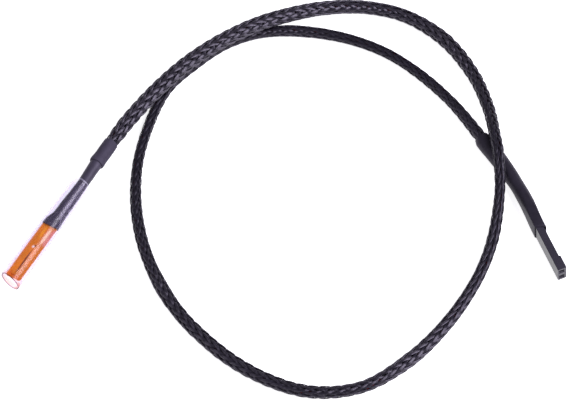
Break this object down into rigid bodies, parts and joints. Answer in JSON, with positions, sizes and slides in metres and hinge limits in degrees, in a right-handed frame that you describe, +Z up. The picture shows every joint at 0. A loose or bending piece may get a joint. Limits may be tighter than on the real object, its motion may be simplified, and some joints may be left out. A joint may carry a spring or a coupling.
{
  "type": "temperature sensor",
  "caption": "Flat film temperature probe in a clear tube, on a braided lead that ends in a small crimp socket housing.",
  "frame": {"origin": "on the floor under the middle of the probe, from the rim of the clear tube to the rear end of the splice sleeve; lead, collar, boot, plug wires, terminals and housing are left out of that middle", "axes": "+X along the probe from the sensing tip towards the lead, +Z up from the floor the sensor lies on"},
  "size_m": [0.1232, 0.1221, 0.007],
  "materials": {
    "clear_tube": "clear plastic",
    "film": "amber polyimide film",
    "chip": "sintered ceramic",
    "foil": "rolled foil",
    "solder": "bright solder",
    "heat_shrink": "matt heat-shrink",
    "conductor": "bare stranded copper",
    "red_insulation": "extruded",
    "black_insulation": "extruded",
    "braid": "braided filament",
    "terminal": "stamped strip",
    "housing": "moulded"
  },
  "bodies": {
    "root": {"clear_tube": "clear_tube", "film_base": "film", "film_cover": "film", "thermistor_chip": "chip", "lead_foil_left": "foil", "lead_foil_right": "foil", "solder_joint_left": "solder", "solder_joint_right": "solder", "splice_sleeve": "heat_shrink", "red_core_head": "conductor", "black_core_head": "conductor", "red_insulation_head": "red_insulation", "black_insulation_head": "black_insulation", "collar": "heat_shrink", "braided_lead": "braid", "connector_boot": "heat_shrink", "red_core_plug": "conductor", "black_core_plug": "conductor", "red_insulation_plug": "red_insulation", "black_insulation_plug": "black_insulation", "terminal_upper": "terminal", "terminal_lower": "terminal", "connector_housing": "housing"}
  },
  "joints": []
}
